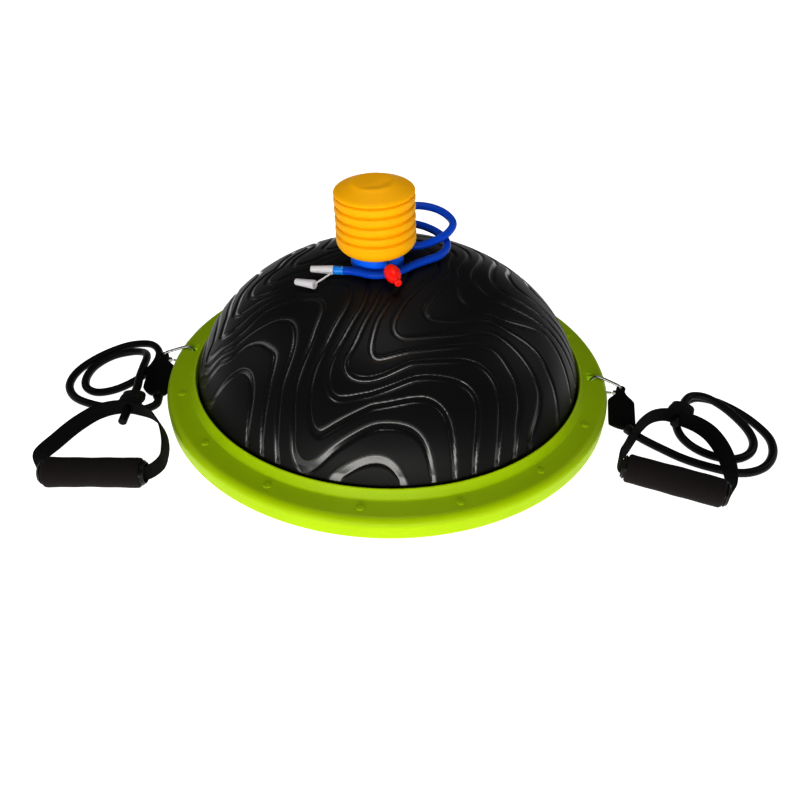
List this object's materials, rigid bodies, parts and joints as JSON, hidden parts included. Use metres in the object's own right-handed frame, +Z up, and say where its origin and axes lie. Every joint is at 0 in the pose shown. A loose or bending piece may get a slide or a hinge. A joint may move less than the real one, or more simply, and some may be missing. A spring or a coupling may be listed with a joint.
{
  "type": "balance dome trainer",
  "caption": "Air-filled rubber dome clamped to a round platform by a screwed rim ring, with clip-on resistance bands and a foot pump resting on top.",
  "frame": {"origin": "centre of the underside of the centre pad, on the floor", "axes": "+X towards the right-hand hook slot, +Y towards the valve at the back, +Z up through the dome"},
  "size_m": [0.9435, 0.6, 0.2972],
  "materials": {
    "lime_plastic": "satin moulded plastic",
    "dome_rubber": "satin moulded sheet with a contour-line relief",
    "black_rubber": "matt moulded rubber",
    "band_rubber": "soft latex tube",
    "black_plastic": "satin moulded plastic",
    "foam": "closed-cell foam",
    "webbing": "woven nylon",
    "wire_steel": "plated wire",
    "screw_steel": "zinc plated",
    "yellow_plastic": "satin soft plastic",
    "blue_plastic": "satin plastic",
    "hose_plastic": "soft plastic hose",
    "cyan_plastic": "clear plastic",
    "grey_plastic": "satin plastic",
    "red_plastic": "soft glossy plastic"
  },
  "bodies": {
    "base": {"base_platform": "lime_plastic", "centre_pad": "black_rubber", "anti_slip_pad_1": "black_rubber", "anti_slip_pad_2": "black_rubber", "anti_slip_pad_3": "black_rubber", "anti_slip_pad_4": "black_rubber", "rim_ring": "lime_plastic", "rim_screw_1": "screw_steel", "rim_screw_2": "screw_steel", "rim_screw_3": "screw_steel", "rim_screw_4": "screw_steel", "rim_screw_5": "screw_steel", "rim_screw_6": "screw_steel", "rim_screw_7": "screw_steel", "rim_screw_8": "screw_steel", "rim_screw_9": "screw_steel", "rim_screw_10": "screw_steel", "rim_screw_11": "screw_steel", "rim_screw_12": "screw_steel", "rim_screw_13": "screw_steel", "rim_screw_14": "screw_steel", "air_dome": "dome_rubber", "valve_seat": "black_rubber"},
    "plug": {"valve_plug": "grey_plastic"},
    "band_right": {"hook_right": "wire_steel", "anchor_strap_right": "webbing", "tube_ferrule_right": "black_plastic", "band_tube_right": "band_rubber", "handle_strap_right": "webbing", "tube_keeper_right": "black_rubber", "tube_tail_right": "band_rubber"},
    "gate_right": {"hook_gate_right": "wire_steel"},
    "grip_right": {"foam_grip_right": "foam", "grip_core_right": "black_plastic", "end_cap_inner_right": "black_plastic", "end_cap_outer_right": "black_plastic"},
    "band_left": {"hook_left": "wire_steel", "anchor_strap_left": "webbing", "tube_ferrule_left": "black_plastic", "band_tube_left": "band_rubber", "handle_strap_left": "webbing", "tube_keeper_left": "black_rubber", "tube_tail_left": "band_rubber"},
    "gate_left": {"hook_gate_left": "wire_steel"},
    "grip_left": {"foam_grip_left": "foam", "grip_core_left": "black_plastic", "end_cap_inner_left": "black_plastic", "end_cap_outer_left": "black_plastic"},
    "pump": {"pump_base": "blue_plastic", "inlet_flap": "black_rubber", "bellows": "yellow_plastic", "return_spring": "screw_steel", "pump_hose": "hose_plastic", "hose_connector": "cyan_plastic"},
    "cap": {"pressing_cap": "yellow_plastic"},
    "stopper": {"port_stopper": "red_plastic"},
    "nozzles": {"nozzle_fitted": "grey_plastic", "nozzle_tether": "grey_plastic", "nozzle_spare": "grey_plastic"}
  },
  "joints": [
    {"name": "valve_plug_pull", "type": "slide", "parent": "base", "child": "plug", "axis": [0, 0.8523, 0.5231], "range_m": [0, 0.03]},
    {"name": "band_right_swing", "type": "hinge", "parent": "base", "child": "band_right", "pos_m": [0.2795, 0, 0.019], "axis": [0, 0, 1], "range_deg": [-1, 25]},
    {"name": "band_left_swing", "type": "hinge", "parent": "base", "child": "band_left", "pos_m": [-0.2795, 0, 0.019], "axis": [0, 0, -1], "range_deg": [-1, 25]},
    {"name": "gate_right_open", "type": "hinge", "parent": "band_right", "child": "gate_right", "pos_m": [0.3124, -0.012, 0.012], "axis": [0.3419, 0.9397, 0], "range_deg": [0, 15], "stiffness_Nm_per_rad": 0.02, "springref_deg": -11.46},
    {"name": "gate_left_open", "type": "hinge", "parent": "band_left", "child": "gate_left", "pos_m": [-0.3124, -0.012, 0.012], "axis": [0.3419, -0.9397, 0], "range_deg": [0, 15], "stiffness_Nm_per_rad": 0.02, "springref_deg": -11.46},
    {"name": "grip_right_spin", "type": "hinge", "parent": "band_right", "child": "grip_right", "pos_m": [0.3535, -0.1855, 0.018], "axis": [0.9563, -0.2924, 0], "continuous": true},
    {"name": "grip_left_spin", "type": "hinge", "parent": "band_left", "child": "grip_left", "pos_m": [-0.3115, -0.2525, 0.018], "axis": [0.9942, 0.108, 0], "continuous": true},
    {"name": "pump_lift_off", "type": "slide", "parent": "base", "child": "pump", "axis": [0, 0, 1], "range_m": [0, 0.25]},
    {"name": "pump_press", "type": "slide", "parent": "pump", "child": "cap", "axis": [0.0383, 0.0547, -0.9978], "range_m": [0, 0.03], "stiffness_N_per_m": 400, "springref_m": -0.01, "deforming": ["bellows", "return_spring"]},
    {"name": "stopper_pull", "type": "slide", "parent": "pump", "child": "stopper", "axis": [0.4406, -0.888, -0.1315], "range_m": [0, 0.03]},
    {"name": "nozzle_pull", "type": "slide", "parent": "pump", "child": "nozzles", "axis": [-0.997, 0.0598, -0.0498], "range_m": [0, 0.03]}
  ]
}
